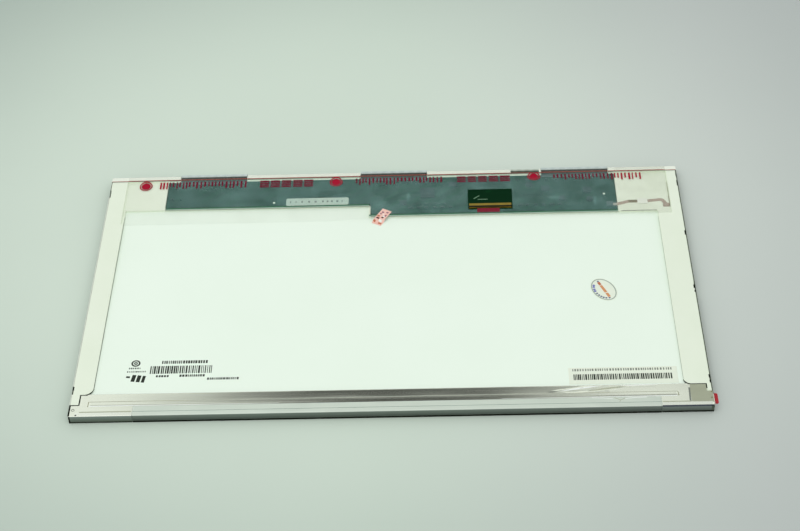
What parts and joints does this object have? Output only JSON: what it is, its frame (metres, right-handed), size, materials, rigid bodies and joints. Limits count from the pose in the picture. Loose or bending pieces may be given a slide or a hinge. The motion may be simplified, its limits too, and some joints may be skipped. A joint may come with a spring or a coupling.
{
  "type": "laptop screen panel",
  "caption": "Thin LED-backlit laptop display module lying face down: steel bezel, white moulded frame, reflector, light bar cover, and control board under clear film.",
  "frame": {"origin": "centre of the module's outline on the plane that the front protective film rests on", "axes": "+X along the long edge, +Y from the light-bar edge to the driver-film edge, +Z to the rear"},
  "size_m": [0.3622, 0.2124, 0.0056],
  "materials": {
    "clear_film": "clear protective film",
    "red_tape": "glossy red",
    "steel": "bright pressed sheet",
    "polariser": "smooth dark film",
    "cell_glass": "clear display glass",
    "chip": "matt black",
    "driver_film": "satin film with copper tracks",
    "black_tape": "matt black tape",
    "optic_sheet": "translucent diffusing sheet",
    "light_guide": "clear moulded plate",
    "reflector": "bright white film",
    "white_plastic": "white moulded",
    "brass": "dark threaded insert",
    "flex": "white coated flex",
    "lamp": "white lamp body",
    "foil": "bright creased foil",
    "board": "green solder mask",
    "capacitor": "small ceramic blocks",
    "connector": "amber moulded housing",
    "gold": "gold plated",
    "paper": "white paper label",
    "red_label": "printed red label",
    "stiffener": "amber stiffener"
  },
  "bodies": {
    "root": {"front_protective_film": "clear_film", "pull_tab": "red_tape", "front_bezel": "steel", "front_polariser": "polariser", "colour_filter_glass": "cell_glass", "array_glass": "cell_glass", "rear_polariser": "polariser", "gate_driver_chips": "chip", "source_driver_chips": "chip", "source_driver_film_left": "driver_film", "source_driver_film_centre": "driver_film", "source_driver_film_right": "driver_film", "rim_tape": "black_tape", "upper_diffuser": "optic_sheet", "upper_prism_sheet": "optic_sheet", "lower_prism_sheet": "optic_sheet", "lower_diffuser": "optic_sheet", "light_guide": "light_guide", "reflector_sheet": "reflector", "mould_frame": "white_plastic", "screw_inserts": "brass", "led_flex": "flex", "leds": "lamp", "light_bar_cover": "foil", "edge_foil_tape": "foil", "corner_foil": "foil", "lip_tape": "black_tape", "control_board": "board", "timing_controller": "chip", "memory_chip": "chip", "power_chips": "chip", "inductors": "chip", "ceramic_capacitors": "capacitor", "chip_resistors": "chip", "led_connector": "connector", "signal_connector_housing": "connector", "signal_connector_contacts": "gold", "signal_connector_shell": "steel", "board_cover_film": "clear_film", "flex_stiffener": "stiffener", "flex_tape": "paper", "board_label": "paper", "connector_label": "red_label", "barcode_label": "paper", "inspection_sticker": "paper", "seal_sticker": "paper"}
  },
  "joints": []
}
